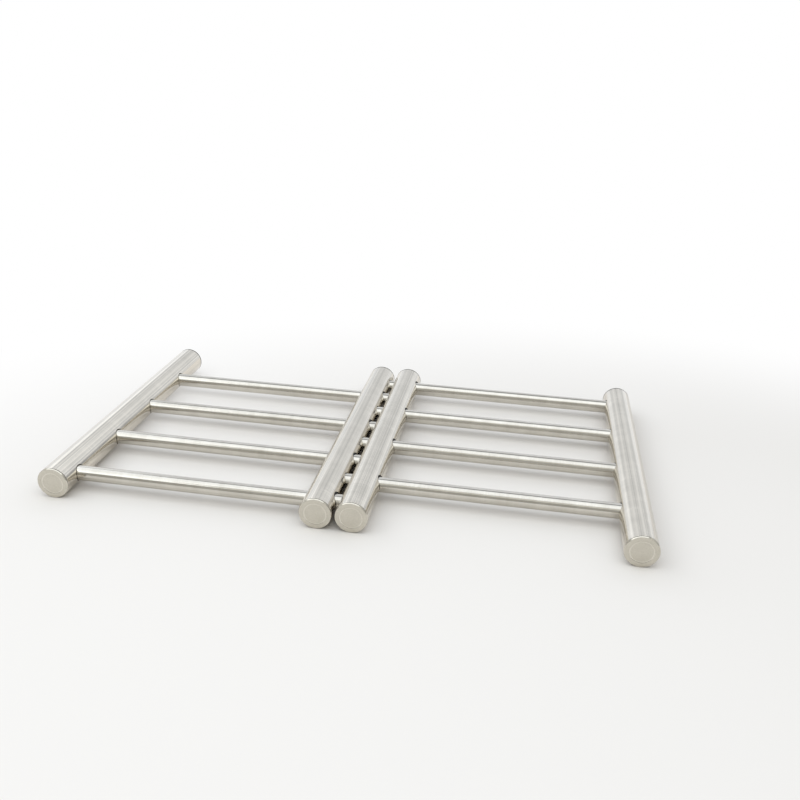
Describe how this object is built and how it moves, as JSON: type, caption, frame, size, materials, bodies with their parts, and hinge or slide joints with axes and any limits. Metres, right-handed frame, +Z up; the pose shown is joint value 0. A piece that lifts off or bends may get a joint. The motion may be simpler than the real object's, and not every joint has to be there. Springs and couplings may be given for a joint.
{
  "type": "extending trivet",
  "caption": "Extending trivet of round brushed stainless tube: two sliding frames of thick bars joined by thinner rods, capped at the ends.",
  "frame": {"origin": "on the surface that the trivet stands on, in the middle of its outline as it is pulled out", "axes": "+X along the rods towards the right frame, +Y along the bars towards the rear, +Z up"},
  "size_m": [0.466, 0.272, 0.025],
  "materials": {
    "bar_steel": "brushed round the bar",
    "rod_steel": "fine satin, nearly polished",
    "cap_steel": "fine satin",
    "sleeve_plastic": "matt"
  },
  "bodies": {
    "left_frame": {"left_outer_bar": "bar_steel", "left_inner_bar": "bar_steel", "left_outer_front_cap": "cap_steel", "left_outer_rear_cap": "cap_steel", "left_inner_front_cap": "cap_steel", "left_inner_rear_cap": "cap_steel", "left_rod_1": "rod_steel", "left_rod_2": "rod_steel", "left_rod_3": "rod_steel", "left_rod_4": "rod_steel", "left_sleeve_1": "sleeve_plastic", "left_sleeve_2": "sleeve_plastic", "left_sleeve_3": "sleeve_plastic", "left_sleeve_4": "sleeve_plastic"},
    "right_frame": {"right_outer_bar": "bar_steel", "right_inner_bar": "bar_steel", "right_outer_front_cap": "cap_steel", "right_outer_rear_cap": "cap_steel", "right_inner_front_cap": "cap_steel", "right_inner_rear_cap": "cap_steel", "right_rod_1": "rod_steel", "right_rod_2": "rod_steel", "right_rod_3": "rod_steel", "right_rod_4": "rod_steel", "right_sleeve_1": "sleeve_plastic", "right_sleeve_2": "sleeve_plastic", "right_sleeve_3": "sleeve_plastic", "right_sleeve_4": "sleeve_plastic"}
  },
  "joints": [
    {"name": "frame_slide", "type": "slide", "parent": "left_frame", "child": "right_frame", "axis": [1, 0, 0], "range_m": [-0.1817, 0.0017]}
  ]
}
